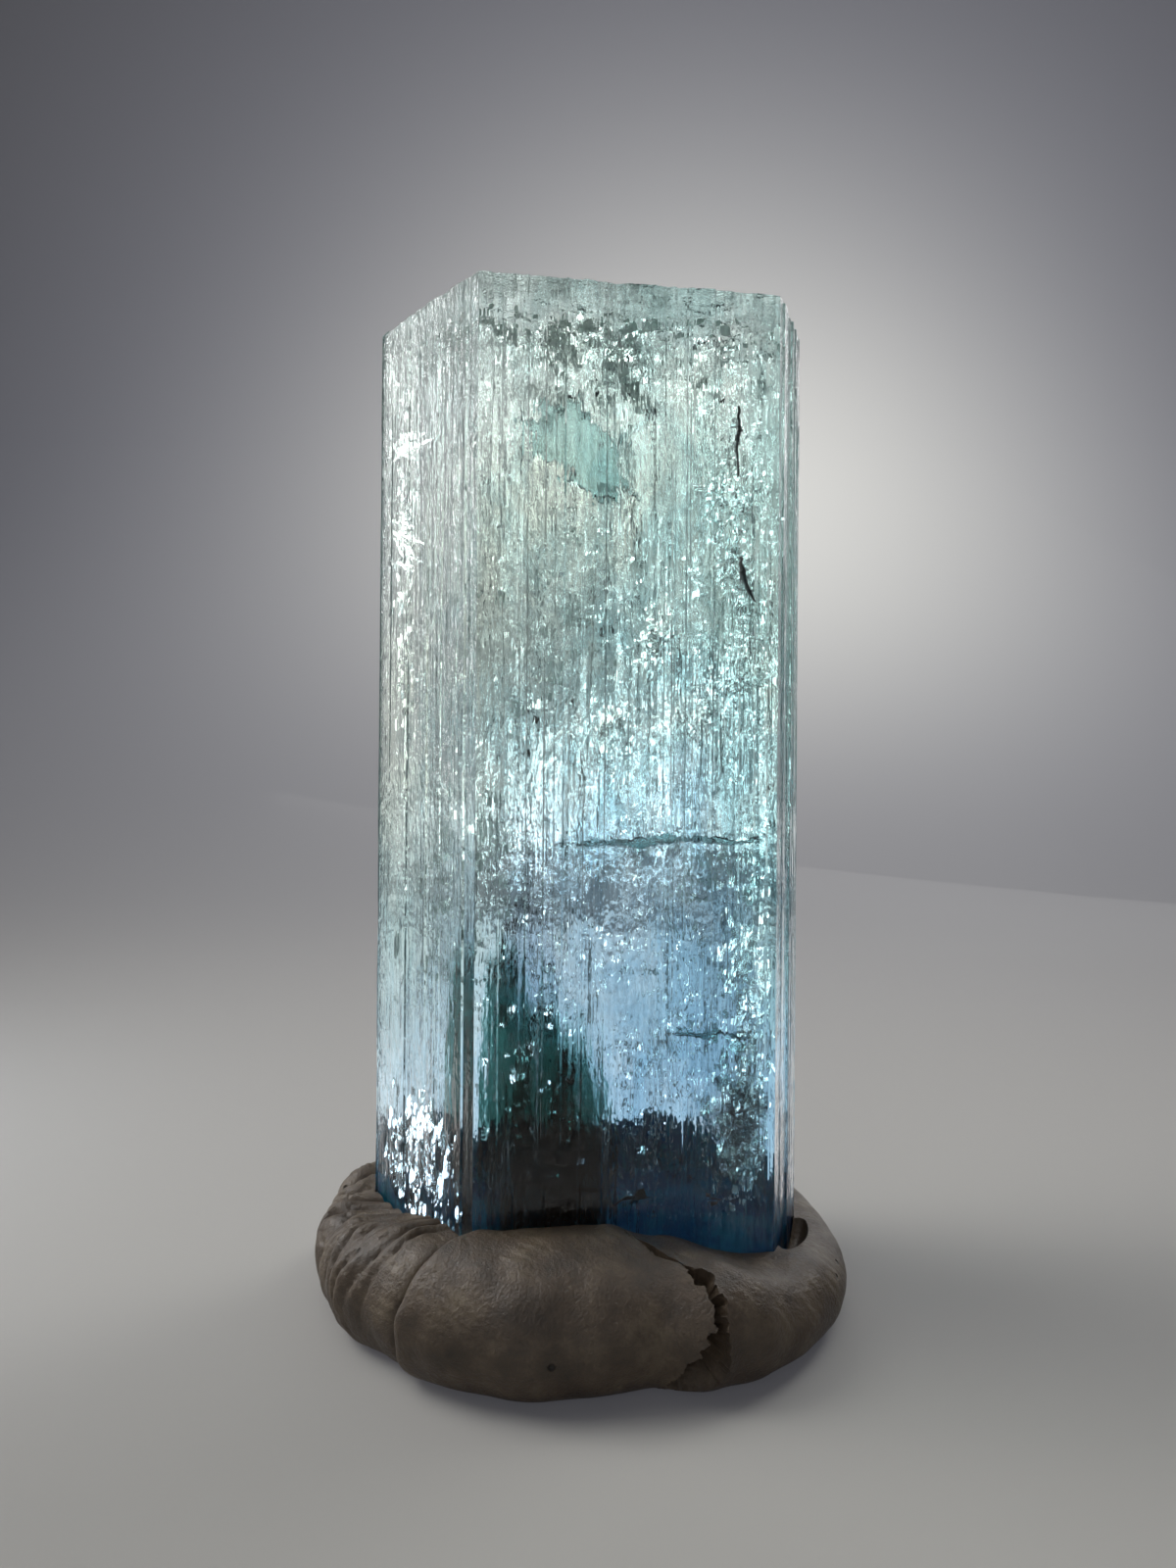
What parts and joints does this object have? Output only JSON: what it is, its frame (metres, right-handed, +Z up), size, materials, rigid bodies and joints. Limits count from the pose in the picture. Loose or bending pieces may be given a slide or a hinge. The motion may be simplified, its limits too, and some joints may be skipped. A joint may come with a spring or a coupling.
{
  "type": "aquamarine crystal",
  "caption": "Striated hexagonal aquamarine crystal, clear sea blue with white veils inside, standing upright in a ring of grey-brown mineral tack pressed flat underneath.",
  "frame": {"origin": "middle of the flat underside of the mineral tack", "axes": "+Z up, -Y towards the crystal's widest front side, +X to the right seen from the front"},
  "size_m": [0.0187, 0.0162, 0.0345],
  "materials": {
    "beryl": "clear blue-green crystal, paler at the top and deeper blue at the foot, with fine lengthwise striations",
    "tack": "soft satin grey-brown putty with pressed creases"
  },
  "bodies": {
    "root": {"aquamarine_crystal": "beryl", "mineral_tack": "tack"}
  },
  "joints": []
}
